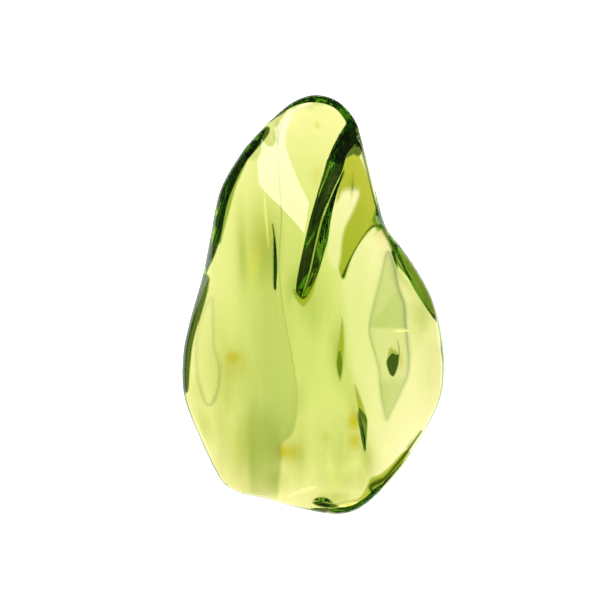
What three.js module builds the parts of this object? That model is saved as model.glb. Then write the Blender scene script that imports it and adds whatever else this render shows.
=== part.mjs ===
// A palm stone of clear green amber: one polished, free-form nugget that lies on its flattened back.
// Millimetres. +Z is up, the stone's long axis runs along Y, and its resting facet lies on z = 0.
//
// Seen from above, the stone is a rounded spade: a blunt narrow end at +Y, a waist on its right flank and
// a full cheek below it. Every surface point lies on a ray from the stone's middle to a point of its rim,
// and "share" says how far along that ray it is: 0 in the middle and 1 on the rim.

import * as THREE from "three";

// ---- driving dimensions ----
const THICKNESS = 12.5; // from the resting facet to the top of the crown
const CROWN_POWER = 2.2; // a higher power keeps the crown flat further out
const CROWN_CALM = 0.28; // how far round the stone, in radians, the crown's middle evens out the rim's wander
const CALM_POWER = 4; // a higher power keeps the crown even further out
const SAG_SCALE = 256 / 27; // makes a sag its full depth, three quarters of the way to the rim
const CHEEK_RISE = 0.45; // how proud the cheek stands of the rest of the crown
const CHEEK_SLOPE = 2.2; // width of the slope up onto the cheek
const FACET_SHARE = 0.3; // the share at which the flat resting facet ends
const SWEEP_POWER = 2; // how the underside sweeps up from the facet to the bevel
const BEVEL_RISE = 1.35; // height of the steep lower bevel over its width
const BEVEL_POWER = 1.25; // 1 is a straight bevel, 2 a quarter ellipse
const EDGE_WIDTH = 0.55; // width of the small rounding between the rim and the crown
const EDGE_RISE = 1.2; // height of that rounding over its width

// ---- mesh density ----
const AROUND = 144; // points round the stone
const CROWN_RINGS = 11;
const EDGE_RINGS = 3;
const UNDERSIDE_RINGS = 16;
const BEVEL_RINGS = 4;
const SNAP_REACH = 1.2; // how near to the fold's line a ring has to come for one of its points to be on it

const MIDDLE = new THREE.Vector2(0, -2.3); // the point that the rays start from

// The rim, clockwise from the narrow end: [x, y, width of the lower bevel, height of the rim, sag], where the
// sag is how far the crown hangs below its full dome on the way there.
const RIM = [
  [0.3, 32.5, 1.6, 3.4, 0],
  [3.8, 31.5, 1.6, 3.4, 0],
  [6.4, 28.6, 1.7, 4, 0.2],
  [7.4, 25.6, 0.9, 4.4, 0.9],
  [8.2, 22.6, 0.4, 4, 1.5],
  [9.7, 17.3, 0.4, 3.6, 1.8],
  [11.2, 12.1, 0.6, 4.2, 1.3],
  [13.7, 8.6, 2.4, 5, 0.4],
  [16.2, 4.9, 3.6, 5.4, 0],
  [18.5, 0.4, 3.4, 5, 0],
  [19.9, -5, 0.5, 3.7, 0],
  [20.3, -9.7, 0.3, 3.4, 0],
  [19.7, -14.6, 0.3, 3.2, 0],
  [17.4, -19.6, 0.6, 2.8, 0],
  [15.5, -22.5, 1, 3, 0],
  [13.65, -25.3, 1.5, 3.3, 0],
  [10, -29.3, 1.5, 3.5, 0],
  [6.5, -31.9, 1.5, 3.4, 0],
  [2.6, -32.5, 1.6, 3.2, 0],
  [-3.3, -31.4, 0.35, 2.6, 0],
  [-7.4, -30.2, 0.3, 2.6, 0],
  [-11.7, -29.2, 0.3, 2.6, 0],
  [-14.6, -27.0, 0.3, 2.6, 0],
  [-18.1, -19.8, 0.3, 2.6, 0],
  [-20.1, -14, 1.2, 3.6, 0],
  [-20.2, -8, 1.3, 4.4, 0],
  [-19.2, -2.8, 1.7, 4.8, 0],
  [-17.2, 4.4, 1.7, 4.5, 0],
  [-15.9, 10.6, 3.2, 5.2, 0],
  [-14.4, 17.6, 3.2, 5.4, 0],
  [-11.2, 23.3, 2.3, 4.9, 0],
  [-8.91, 26.13, 2.1, 4.4, 0],
  [-6.6, 28.6, 0.5, 3.8, 0],
  [-3.2, 31.4, 1, 3.5, 0],
];

// The deep fold in the underside, from the narrow end down to the middle:
// [x, y, width left of its line, width right of its line, depth].
const FOLD = [
  [6.4, 29.4, 1, 0.4, 0],
  [6.9, 27.4, 2.3, 0.4, 2],
  [6.5, 25.0, 3.1, 0.5, 2.7],
  [4.9, 22.6, 2.7, 0.5, 3.2],
  [4.2, 20.3, 3, 0.7, 3.3],
  [2.4, 16.7, 2.2, 1.2, 2.8],
  [0.9, 12.8, 1.6, 1.3, 2.3],
  [0.1, 9, 1.5, 1.2, 2],
  [-0.6, 4.6, 1.6, 1, 1.8],
  [-1.3, 2.0, 1.3, 0.8, 1.2],
  [-1.8, 0.4, 0.6, 0.5, 0],
];

// The thin wall on the fold's right, where the underside stays high and comes down slowly, as for the fold.
const SHELF = [
  [6.9, 27.4, 0.3, 1.2, 1.9],
  [6.5, 25.0, 0.3, 2.4, 2.6],
  [4.9, 22.6, 0.3, 4.4, 3.1],
  [4.2, 20.3, 0.3, 5.1, 3],
  [2.4, 16.7, 0.3, 6.4, 1.9],
  [0.9, 12.8, 0.3, 5.1, 0.8],
  [0.1, 9, 0.3, 2.2, 0],
];

// The cheek's outline: on the right it runs out past the rim, so only its left border makes a step.
const CHEEK = [
  [10.8, 12.8],
  [22.0, 8.0],
  [26.0, -12.0],
  [18.0, -32.0],
  [10.8, -31.5],
  [9.3, -27.5],
  [8.4, -22.5],
  [7.4, -18.0],
  [6.4, -13.5],
  [5.6, -9.0],
  [5.0, -4.5],
  [4.8, 0.0],
  [4.5, 3.2],
  [4.7, 5.2],
  [5.6, 7.4],
  [6.9, 9.4],
  [8.6, 11.4],
];

// A smooth curve through two columns of a table.
function curveThrough(rows, column, closed) {
  const points = rows.map((row) => new THREE.Vector3(row[column], row[column + 1], 0));
  return new THREE.CatmullRomCurve3(points, closed, "catmullrom", 0.5);
}

// Points evenly spaced along the rim. Each holds the vector to it from the middle, its bevel, height and sag,
// and its reach: how far the middle is from the rim's tangent there, which turns a share of the ray
// into a distance square to the rim.
function rimPoints() {
  const place = curveThrough(RIM, 0, true);
  const form = curveThrough(RIM, 2, true);
  const sags = curveThrough(RIM.map((row) => [row[4], 0]), 0, true);
  const points = [];
  for (let i = 0; i < AROUND; i++) {
    const t = place.getUtoTmapping(i / AROUND);
    const at = place.getPoint(t);
    const along = place.getTangent(t);
    const ray = new THREE.Vector2(at.x - MIDDLE.x, at.y - MIDDLE.y);
    const { x: bevel, y: height } = form.getPoint(t);
    const reach = Math.abs(ray.x * along.y - ray.y * along.x);
    points.push({ ray, bevel, height, sag: sags.getPoint(t).x, reach });
  }
  calmForm(points);
  return points;
}

// The crown's middle doesn't follow every turn of the rim. The radius, height and sag that it goes by are
// means over a good part of a turn, in which each rim point counts by the angle it fills.
function calmForm(points) {
  for (const point of points) {
    let [radius, height, sag, total] = [0, 0, 0, 0];
    for (const other of points) {
      const turns = point.ray.angleTo(other.ray) / CROWN_CALM;
      const weight = (other.reach / other.ray.lengthSq()) * Math.exp(-0.5 * turns ** 2);
      radius += weight * other.ray.length();
      height += weight * other.height;
      sag += weight * other.sag;
      total += weight;
    }
    point.calmRadius = radius / total;
    point.calmHeight = height / total;
    point.calmSag = sag / total;
  }
}

// The nearest place to (x, y) on a line of points: its distance, the two points it lies between, how far it
// is from the first to the second, and whether (x, y) lies to the right of the line's travel.
function nearestOn(x, y, line) {
  let nearest = { distance: Infinity };
  for (let i = 0; i + 1 < line.length; i++) {
    const [a, b] = [line[i], line[i + 1]];
    const [dx, dy] = [b.x - a.x, b.y - a.y];
    const along = ((x - a.x) * dx + (y - a.y) * dy) / (dx * dx + dy * dy);
    const t = THREE.MathUtils.clamp(along, 0, 1);
    const distance = Math.hypot(x - a.x - t * dx, y - a.y - t * dy);
    if (distance >= nearest.distance) continue;
    nearest = { distance, a, b, t, onRight: dx * (y - a.y) - dy * (x - a.x) < 0 };
  }
  return nearest;
}

// Moves the ring's point that is nearest to a line onto it, so that facet edges follow the line, and gives
// that point's number, or -1 if the ring doesn't come near the line.
function snapToLine(places, line) {
  let nearest = { distance: SNAP_REACH, i: -1 };
  places.forEach(([x, y], i) => {
    const found = nearestOn(x, y, line);
    if (found.distance < nearest.distance) nearest = { ...found, i };
  });
  const { i, a, b, t } = nearest;
  if (i >= 0) places[i] = [THREE.MathUtils.lerp(a.x, b.x, t), THREE.MathUtils.lerp(a.y, b.y, t)];
  return i;
}

// Depth of a V-shaped groove at (x, y), with a softened bottom and shoulders, along a route of rows.
function grooveDepth(x, y, line) {
  const { distance, a, b, t, onRight } = nearestOn(x, y, line);
  const side = onRight ? "left" : "right"; // the routes run down the stone, so sides change over
  const width = THREE.MathUtils.lerp(a[side], b[side], t);
  return THREE.MathUtils.lerp(a.depth, b.depth, t) * grooveSection(distance / width);
}

// The groove's section: 1 on its line (u = 0), near 0 at its shoulder (u = 1).
function grooveSection(u) {
  const BOTTOM = 0.06;
  const SHOULDER = 0.06;
  if (u > 1.8) return 0;
  const v = 1 - (Math.hypot(u, BOTTOM) - BOTTOM) / (Math.hypot(1, BOTTOM) - BOTTOM);
  return Math.log1p(Math.exp(v / SHOULDER)) / Math.log1p(Math.exp(1 / SHOULDER));
}

// A route's rows as closely spaced points.
function routePoints(rows, stepsPerRow = 8) {
  const place = curveThrough(rows, 0, false);
  const form = curveThrough(rows, 2, false);
  const depth = curveThrough(rows.map((row) => [row[4], 0]), 0, false);
  const points = [];
  const steps = (rows.length - 1) * stepsPerRow;
  for (let i = 0; i <= steps; i++) {
    const at = place.getPoint(i / steps);
    const sides = form.getPoint(i / steps);
    points.push({ x: at.x, y: at.y, left: sides.x, right: sides.y, depth: depth.getPoint(i / steps).x });
  }
  return points;
}

// Shares from the middle to the rim, closer together in the edge zone of the given width.
function ringShares(point, edgeWidth, innerRings, edgeRings) {
  const edgeShare = 1 - edgeWidth / point.reach;
  const shares = [];
  for (let i = 0; i < innerRings; i++) shares.push((edgeShare * i) / innerRings);
  for (let i = 0; i <= edgeRings; i++) {
    shares.push(edgeShare + (1 - edgeShare) * Math.sin((Math.PI / 2) * (i / edgeRings)));
  }
  return shares;
}

// How far the crown stands up at (x, y) for being on the cheek. The outline runs clockwise.
function cheekRise(x, y, outline) {
  const { distance, onRight } = nearestOn(x, y, outline);
  const halfSlope = CHEEK_SLOPE / 2;
  return CHEEK_RISE * THREE.MathUtils.smoothstep(onRight ? distance : -distance, -halfSlope, halfSlope);
}

function crownHeight(share, point, x, y, cheekOutline) {
  const fromRim = (1 - share) * point.reach;
  const t = THREE.MathUtils.clamp(1 - fromRim / EDGE_WIDTH, 0, 1);
  const nearRim = share ** CALM_POWER;
  const calmShare = (share * point.ray.length()) / point.calmRadius;
  const crownShare = THREE.MathUtils.lerp(calmShare, share, nearRim);
  const foot = THREE.MathUtils.lerp(point.calmHeight, point.height, nearRim) + EDGE_WIDTH * EDGE_RISE;
  const dome = foot + (THICKNESS - foot) * (1 - crownShare ** CROWN_POWER);
  const sag = point.calmSag * SAG_SCALE * crownShare ** 3 * (1 - crownShare);
  const crown = dome - sag + cheekRise(x, y, cheekOutline);
  return THREE.MathUtils.lerp(point.height, crown, Math.sqrt(1 - t * t));
}

function undersideHeight(share, point, x, y, grooves) {
  const fromRim = (1 - share) * point.reach;
  const bevelHeight = point.bevel * BEVEL_RISE;
  const t = THREE.MathUtils.clamp(1 - fromRim / point.bevel, 0, 1);
  const bevel = bevelHeight * (1 - (1 - t ** BEVEL_POWER) ** (1 / BEVEL_POWER));
  const sweep = Math.max(0, (share - FACET_SHARE) / (1 - FACET_SHARE)) ** SWEEP_POWER;
  const fade = Math.min(1, (2 * fromRim) / point.bevel); // no groove cuts the rim itself
  const cut = Math.max(...grooves.map((line) => grooveDepth(x, y, line)));
  return (point.height - bevelHeight) * sweep + bevel + fade * cut;
}

// The whole stone as one closed surface: the crown's rings from the middle out to the rim, then the
// underside's rings, which share the rim's points.
function stoneGeometry() {
  const rim = rimPoints();
  const grooves = [routePoints(FOLD), routePoints(SHELF)];
  const cheekOutline = curveThrough(CHEEK, 0, true).getPoints(CHEEK.length * 8);
  const crownShares = rim.map((point) => ringShares(point, EDGE_WIDTH, CROWN_RINGS, EDGE_RINGS));
  const undersideShares = rim.map((point) =>
    ringShares(point, point.bevel, UNDERSIDE_RINGS, BEVEL_RINGS));
  const rimRing = CROWN_RINGS + EDGE_RINGS;
  const lastRing = UNDERSIDE_RINGS + BEVEL_RINGS;
  const positions = [];
  const index = [];
  const onFold = new Set(); // the numbers of the points on the fold's line

  const place = (share, point) => [MIDDLE.x + share * point.ray.x, MIDDLE.y + share * point.ray.y];
  positions.push(MIDDLE.x, MIDDLE.y, THICKNESS);
  for (let ring = 1; ring <= rimRing; ring++) {
    rim.forEach((point, i) => {
      const share = crownShares[i][ring];
      const [x, y] = place(share, point);
      positions.push(x, y, crownHeight(share, point, x, y, cheekOutline));
    });
  }
  const undersideStart = positions.length / 3;
  for (let ring = 1; ring < lastRing; ring++) {
    const places = rim.map((point, i) => place(undersideShares[i][ring], point));
    const snapped = snapToLine(places, grooves[0]);
    if (snapped >= 0) onFold.add(positions.length / 3 + snapped);
    rim.forEach((point, i) => {
      const [x, y] = places[i];
      positions.push(x, y, undersideHeight(undersideShares[i][ring], point, x, y, grooves));
    });
  }
  const bottomMiddle = positions.length / 3;
  positions.push(MIDDLE.x, MIDDLE.y, 0);

  const crown = (ring, i) => 1 + (ring - 1) * AROUND + (i % AROUND);
  const underside = (ring, i) =>
    ring === lastRing ? crown(rimRing, i) : undersideStart + (ring - 1) * AROUND + (i % AROUND);
  const quad = (a, b, c, d) => {
    if (onFold.has(b) && onFold.has(d)) index.push(b, c, d, b, d, a);
    else index.push(a, b, c, a, c, d);
  };
  for (let i = 0; i < AROUND; i++) {
    index.push(0, crown(1, i + 1), crown(1, i));
    index.push(bottomMiddle, underside(1, i), underside(1, i + 1));
    for (let ring = 1; ring < rimRing; ring++) {
      quad(crown(ring, i), crown(ring, i + 1), crown(ring + 1, i + 1), crown(ring + 1, i));
    }
    for (let ring = 1; ring < lastRing; ring++) {
      quad(underside(ring + 1, i), underside(ring + 1, i + 1), underside(ring, i + 1), underside(ring, i));
    }
  }

  const geometry = new THREE.BufferGeometry();
  geometry.setAttribute("position", new THREE.Float32BufferAttribute(positions, 3));
  geometry.setIndex(index);
  geometry.computeVertexNormals();
  geometry.computeBoundingBox();
  const { min, max } = geometry.boundingBox;
  return geometry.translate(-(min.x + max.x) / 2, -(min.y + max.y) / 2, 0); // the origin is mid-base
}

const greenAmber = new THREE.MeshStandardMaterial({
  color: 0xdde27a,
  roughness: 0.04,
  metalness: 0,
  transparent: true,
  opacity: 0.6,
});

const stone = new THREE.Mesh(stoneGeometry(), greenAmber);
stone.name = "amber_stone";

const palmStone = new THREE.Group();
palmStone.add(stone);

export default palmStone;
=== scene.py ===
"""Green amber palm stone: the looks.

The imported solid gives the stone's size and place. The fine stone made here follows the same rim, crown and
underside with a smooth surface and the small relief that the solid leaves out, and it stands for the solid.
Lengths are in millimetres up to the point where the mesh is made, and in metres after that.
"""

import math

import bmesh
import bpy
import numpy as np
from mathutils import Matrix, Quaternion, Vector


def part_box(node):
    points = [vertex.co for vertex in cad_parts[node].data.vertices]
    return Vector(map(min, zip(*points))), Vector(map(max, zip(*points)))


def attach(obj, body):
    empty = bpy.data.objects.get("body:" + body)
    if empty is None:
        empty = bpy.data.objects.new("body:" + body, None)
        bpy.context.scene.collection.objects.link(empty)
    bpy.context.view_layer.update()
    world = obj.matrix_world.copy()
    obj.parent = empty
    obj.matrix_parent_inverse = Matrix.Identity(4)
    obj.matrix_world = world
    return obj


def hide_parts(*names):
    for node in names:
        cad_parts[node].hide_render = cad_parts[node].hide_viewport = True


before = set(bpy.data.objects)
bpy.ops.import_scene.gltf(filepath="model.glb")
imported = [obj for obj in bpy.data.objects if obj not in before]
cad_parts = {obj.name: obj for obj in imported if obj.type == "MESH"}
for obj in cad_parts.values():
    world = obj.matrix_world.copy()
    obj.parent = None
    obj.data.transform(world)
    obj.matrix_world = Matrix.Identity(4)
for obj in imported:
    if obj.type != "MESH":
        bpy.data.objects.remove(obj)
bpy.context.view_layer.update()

MM = 0.001

# ---- the form: the same values as the solid's ----
THICKNESS = 12.5  # from the resting facet to the top of the crown
CROWN_POWER = 2.2  # a higher power keeps the crown flat further out
CROWN_CALM = 0.28  # how far round the stone, in radians, the crown's middle evens out the rim's wander
CALM_POWER = 4  # a higher power keeps the crown even further out
SAG_SCALE = 256 / 27  # makes a sag its full depth, three quarters of the way to the rim
CHEEK_RISE = 0.45  # how proud the cheek stands of the rest of the crown
CHEEK_SLOPE = 2.2  # width of the slope up onto the cheek
FACET_SHARE = 0.3  # the share of the way to the rim at which the flat resting facet ends
SWEEP_POWER = 2.0  # how the underside sweeps up from the facet to the bevel
BEVEL_RISE = 1.35  # height of the steep lower bevel over its width
BEVEL_POWER = 1.25  # 1 is a straight bevel, 2 a quarter ellipse
EDGE_WIDTH = 0.55  # width of the small rounding between the rim and the crown
EDGE_RISE = 1.2  # height of that rounding over its width
MIDDLE = (0.0, -2.3)  # the point that the shares of the way to the rim start from

# The rim, clockwise from the narrow end: x, y, width of the lower bevel, height of the rim, and how far the
# crown sags on its way there.
RIM = [
    (0.3, 32.5, 1.6, 3.4, 0.0),
    (3.8, 31.5, 1.6, 3.4, 0.0),
    (6.4, 28.6, 1.7, 4.0, 0.2),
    (7.4, 25.6, 0.9, 4.4, 0.9),
    (8.2, 22.6, 0.4, 4.0, 1.5),
    (9.7, 17.3, 0.4, 3.6, 1.8),
    (11.2, 12.1, 0.6, 4.2, 1.3),
    (13.7, 8.6, 2.4, 5.0, 0.4),
    (16.2, 4.9, 3.6, 5.4, 0.0),
    (18.5, 0.4, 3.4, 5.0, 0.0),
    (19.9, -5.0, 0.5, 3.7, 0.0),
    (20.3, -9.7, 0.3, 3.4, 0.0),
    (19.7, -14.6, 0.3, 3.2, 0.0),
    (17.4, -19.6, 0.6, 2.8, 0.0),
    (15.5, -22.5, 1.0, 3.0, 0.0),
    (13.65, -25.3, 1.5, 3.3, 0.0),
    (10.0, -29.3, 1.5, 3.5, 0.0),
    (6.5, -31.9, 1.5, 3.4, 0.0),
    (2.6, -32.5, 1.6, 3.2, 0.0),
    (-3.3, -31.4, 0.35, 2.6, 0.0),
    (-7.4, -30.2, 0.3, 2.6, 0.0),
    (-11.7, -29.2, 0.3, 2.6, 0.0),
    (-14.6, -27.0, 0.3, 2.6, 0.0),
    (-18.1, -19.8, 0.3, 2.6, 0.0),
    (-20.1, -14.0, 1.2, 3.6, 0.0),
    (-20.2, -8.0, 1.3, 4.4, 0.0),
    (-19.2, -2.8, 1.7, 4.8, 0.0),
    (-17.2, 4.4, 1.7, 4.5, 0.0),
    (-15.9, 10.6, 3.2, 5.2, 0.0),
    (-14.4, 17.6, 3.2, 5.4, 0.0),
    (-11.2, 23.3, 2.3, 4.9, 0.0),
    (-8.91, 26.13, 2.1, 4.4, 0.0),
    (-6.6, 28.6, 0.5, 3.8, 0.0),
    (-3.2, 31.4, 1.0, 3.5, 0.0),
]

# Grooves in the underside, down the stone: x, y, width left of the line, width right of it, depth.
FOLD = [
    (6.4, 29.4, 1.0, 0.4, 0.0),
    (6.9, 27.4, 2.3, 0.4, 2.0),
    (6.5, 25.0, 3.1, 0.5, 2.7),
    (4.9, 22.6, 2.7, 0.5, 3.2),
    (4.2, 20.3, 3.0, 0.7, 3.3),
    (2.4, 16.7, 2.2, 1.2, 2.8),
    (0.9, 12.8, 1.6, 1.3, 2.3),
    (0.1, 9.0, 1.5, 1.2, 2.0),
    (-0.6, 4.6, 1.6, 1.0, 1.8),
    (-1.3, 2.0, 1.3, 0.8, 1.2),
    (-1.8, 0.4, 0.6, 0.5, 0.0),
]
# The thin wall right of the fold, where the underside stays high.
SHELF = [
    (6.9, 27.4, 0.3, 1.2, 1.9),
    (6.5, 25.0, 0.3, 2.4, 2.6),
    (4.9, 22.6, 0.3, 4.4, 3.1),
    (4.2, 20.3, 0.3, 5.1, 3.0),
    (2.4, 16.7, 0.3, 6.4, 1.9),
    (0.9, 12.8, 0.3, 5.1, 0.8),
    (0.1, 9.0, 0.3, 2.2, 0.0),
]
SLIT_LEFT = [
    (-5.4, 11.2, 0.20, 0.8, 0.0),
    (-5.1, 9.0, 0.35, 1.3, 0.4),
    (-4.85, 6.3, 0.50, 1.5, 0.65),
    (-4.8, 3.3, 0.45, 1.4, 0.6),
    (-4.9, 0.6, 0.25, 0.8, 0.0),
]
SLIT_MIDDLE = [
    (4.2, -2.0, 0.5, 0.8, 0.0),
    (4.1, -5.0, 0.7, 1.2, 0.3),
    (3.75, -8.5, 0.9, 1.5, 0.4),
    (3.95, -11.4, 0.5, 0.8, 0.0),
]
SLIT_RIGHT = [
    (6.6, -14.2, 0.25, 0.25, 0.0),
    (7.0, -16.4, 0.35, 0.35, 0.4),
    (7.45, -18.8, 0.45, 0.45, 0.8),
    (7.7, -20.8, 0.40, 0.35, 0.6),
    (7.85, -22.6, 0.25, 0.25, 0.0),
]
CRUMB = [
    (-0.3, -29.9, 0.3, 0.3, 0.0),
    (0.8, -30.1, 0.5, 1.2, 0.6),
    (2.4, -30.4, 0.5, 1.2, 0.65),
    (3.9, -30.9, 0.3, 0.3, 0.0),
]
GROOVES = (FOLD, SHELF, SLIT_LEFT, SLIT_MIDDLE, SLIT_RIGHT, CRUMB)

# The shallow scoop in the underside, below the leaf: x, y, half width, half length, turn in degrees.
SCOOP = (11.1, -8.4, 1.1, 2.8, -3.0)
SCOOP_DEPTH = 0.3

# The long crease, a fine line where two polished faces of the crown meet, drawn as painted shade: x, y,
# strength of the line.
CREASE = [
    (1.3, 31.9, 0.21),
    (0.0, 31.2, 0.42),
    (-2.5, 30.7, 0.56),
    (-4.5, 29.0, 1.0),
    (-5.5, 26.0, 1.0),
    (-5.4, 20.0, 1.0),
    (-5.0, 14.0, 0.85),
    (-5.3, 8.0, 0.7),
    (-5.2, 3.0, 0.7),
    (-4.6, -1.5, 0.7),
    (-3.4, -8.0, 0.7),
    (-2.6, -13.5, 0.7),
    (-2.8, -18.0, 0.7),
    (-3.6, -20.2, 0.7),
    (-5.0, -21.8, 0.56),
    (-5.0, -24.0, 0.7),
    (-5.5, -28.5, 0.49),
]
# The edge of the leaf, a slight dent in the cheek, whose line is painted shade: x, y, strength of its line.
LEAF = [
    (11.5, 8.2, 0.8),
    (10.2, 4.0, 0.5),
    (8.9, -1.0, 0.6),
    (8.4, -4.0, 0.7),
    (9.1, -7.0, 0.7),
    (10.0, -10.0, 0.6),
    (10.2, -13.0, 0.6),
    (10.7, -16.0, 0.5),
    (11.3, -18.0, 0.3),
    (12.2, -16.4, 0.3),
    (13.7, -13.2, 0.4),
    (14.5, -11.0, 0.7),
    (14.7, -8.0, 0.9),
    (14.2, -3.0, 1.0),
    (14.0, 0.0, 1.0),
    (13.0, 3.0, 1.0),
    (12.5, 6.0, 1.0),
]
# The darker face inside the leaf, painted shade.
LEAF_SHADE = [
    (12.4, 1.6),
    (13.4, 1.8),
    (14.4, 0.0),
    (14.6, -3.2),
    (12.0, -3.7),
    (9.6, -3.4),
    (9.4, -2.5),
    (11.0, -0.6),
]
# The crescent of painted shade outside the crease, round the narrow end.
CRESCENT = [
    (-5.5, 25.2),
    (-5.3, 28.3),
    (-3.9, 30.1),
    (-1.5, 31.1),
    (1.9, 31.6),
    (0.0, 34.0),
    (-5.0, 33.0),
    (-10.0, 29.0),
    (-11.5, 24.0),
    (-9.0, 22.5),
]
# The crescent's inner edge, where the painted shade is stronger to show through the light's reflection.
VEILED_CRESCENT = [
    (-6.15, 25.6),
    (-6.15, 27.8),
    (-5.4, 29.6),
    (-4.2, 31.2),
    (-2.2, 31.8),
    (-1.6, 31.5),
    (-3.9, 30.1),
    (-5.0, 28.6),
    (-5.55, 26.6),
    (-5.55, 25.3),
]
# The edge of the long oval, a slight dent at the left, whose line is painted shade: x, y, strength of its
# line.
OVAL = [
    (-15.9, 1.0, 0.38),
    (-17.5, -2.0, 0.3),
    (-18.3, -6.0, 0.38),
    (-18.2, -11.0, 0.45),
    (-17.2, -14.8, 0.6),
    (-16.3, -15.7, 0.68),
    (-15.4, -14.6, 0.68),
    (-14.7, -12.0, 0.6),
    (-14.8, -9.0, 0.52),
    (-15.5, -6.5, 0.52),
    (-15.6, -3.0, 0.52),
]
# The cheek, a lobe of the crown that stands a little proud, and runs out past the rim here.
CHEEK = [
    (10.8, 12.8),
    (22.0, 8.0),
    (26.0, -12.0),
    (18.0, -32.0),
    (10.8, -31.5),
    (9.3, -27.5),
    (8.4, -22.5),
    (7.4, -18.0),
    (6.4, -13.5),
    (5.6, -9.0),
    (5.0, -4.5),
    (4.8, 0.0),
    (4.5, 3.2),
    (4.7, 5.2),
    (5.6, 7.4),
    (6.9, 9.4),
    (8.6, 11.4),
]
# How deep the two dents are, and how wide their slopes.
LEAF_DENT, LEAF_SLOPE = 0.25, 0.8
OVAL_DENT, OVAL_SLOPE = 0.12, 0.8
# The thin olive wall between the fold and the cheek, and the pale patch that thins it out beside the fold.
OLIVE = [
    (4.3, 21.4),
    (4.9, 22.9),
    (6.0, 23.6),
    (7.2, 23.2),
    (8.6, 20.0),
    (9.8, 16.0),
    (10.4, 13.2),
    (9.2, 11.9),
    (7.6, 10.1),
    (6.2, 8.1),
    (5.1, 5.8),
    (4.4, 3.8),
    (3.7, 6.0),
    (3.6, 10.0),
    (3.4, 15.0),
    (3.9, 19.0),
]
PALE = [
    (3.9, 16.4),
    (4.3, 17.3),
    (5.2, 17.8),
    (6.9, 17.7),
    (6.9, 16.6),
    (5.9, 14.2),
    (4.8, 11.9),
    (4.3, 9.8),
    (4.0, 7.0),
    (3.4, 5.4),
    (2.2, 7.0),
    (2.2, 12.0),
    (3.0, 15.0),
]
# Painted shade, olive, over the clefts and rims seen through the crown.
OLIVE_LENSES = [
    # the middle slit
    [(4.3, -2.0), (4.6, -5.0), (4.5, -8.5), (4.1, -11.7), (3.6, -10.8), (3.3, -8.4), (3.8, -5.0)],
    # the upper end of the right slit
    [(6.2, -12.2), (7.2, -14.4), (8.0, -17.0), (8.1, -18.5), (7.0, -16.6), (6.5, -14.6)],
    # the halo round the fold's lower end
    [
        (-3.2, 2.4), (-2.9, 1.0), (-1.7, -0.3), (-0.6, 0.8), (0.3, 3.4), (0.9, 6.6), (-0.6, 4.4),
        (-1.6, 2.4),
    ],
    # the lower right rim
    [
        (14.4, -23.0), (12.1, -25.2), (10.4, -26.6), (8.9, -27.2), (8.3, -28.6), (7.1, -30.4),
        (4.6, -31.0), (3.0, -31.6), (6.0, -33.0), (11.5, -30.5), (15.5, -24.5),
    ],
]
# Painted shade over the clefts, pits and rim bands seen through the crown, which total reflection darkens:
# strength, then an outline.
DARK_LENSES = [
    # the fold's upper end
    (0.82, [
        (5.1, 22.9), (6.2, 23.5), (7.3, 23.4), (7.9, 25.8), (7.1, 28.0), (5.5, 29.2), (4.6, 27.0),
        (3.3, 24.8), (2.6, 22.6), (4.4, 22.0),
    ]),
    # the pit in the leaf
    (0.9, [
        (12.1, -7.5), (12.6, -7.7), (13.1, -7.8), (13.05, -9.2), (12.6, -10.6), (12.15, -11.1),
        (11.6, -10.5), (11.2, -9.2), (11.25, -8.5), (11.6, -7.9),
    ]),
    # the pit's upper end
    (0.2, [(11.7, -6.6), (12.2, -7.0), (12.9, -7.4), (12.6, -8.2), (11.8, -8.3), (11.3, -8.3)]),
    # the core of the middle slit
    (0.35, [(3.9, -7.0), (4.3, -8.6), (4.25, -10.2), (4.0, -11.2), (3.65, -10.2), (3.5, -8.8)]),
    # the right slit
    (0.6, [
        (6.9, -15.9), (7.5, -16.8), (8.1, -18.4), (8.1, -20.4), (7.95, -22.4), (7.5, -21.2),
        (7.05, -18.6),
    ]),
    # the crumbled spot
    (1.0, [
        (-0.2, -31.2), (0.8, -30.9), (2.0, -31.2), (3.4, -31.5), (3.8, -31.9), (2.8, -32.1), (1.6, -32.0),
        (0.5, -31.7),
    ]),
    # the rim's lower left band
    (0.82, [
        (-16.4, 4.4), (-16.7, 1.6), (-17.5, -1.4), (-18.4, -4.0), (-19.0, -6.6), (-19.4, -9.8),
        (-19.8, -13.7), (-20.8, -13.0), (-21.2, -8.0), (-20.2, -2.6), (-18.2, 4.0),
    ]),
    # the inner edge of the rim's upper left band
    (0.4, [
        (-10.3, 22.9), (-11.2, 20.6), (-12.2, 18.2), (-13.3, 14.1), (-14.2, 10.8), (-14.5, 9.6),
        (-15.1, 10.0), (-14.5, 14.1), (-13.4, 18.2), (-12.1, 20.9),
    ]),
    # the upper end of that band
    (0.85, [
        (-7.0, 27.9), (-7.0, 27.0), (-7.6, 26.0), (-8.9, 24.4), (-10.2, 22.9), (-10.6, 23.5),
        (-8.8, 25.8), (-7.8, 27.8),
    ]),
    # the fold's right wall
    (0.5, [
        (1.2, 13.5), (2.3, 13.5), (1.8, 10.5), (1.3, 8.0), (0.6, 5.4), (-0.2, 5.0), (0.1, 8.0),
        (0.7, 10.5),
    ]),
]
# The rim's right band, where the bevel's total reflection shows grey-green, here painted shade.
BAND_SHADE_OUTLINE = [
    (12.2, 11.4), (13.0, 8.6), (13.9, 5.8), (15.8, 2.9), (17.8, -0.6), (18.9, -2.3), (20.2, -2.0),
    (19.0, 1.0), (16.6, 5.4), (13.6, 9.6),
]
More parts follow.
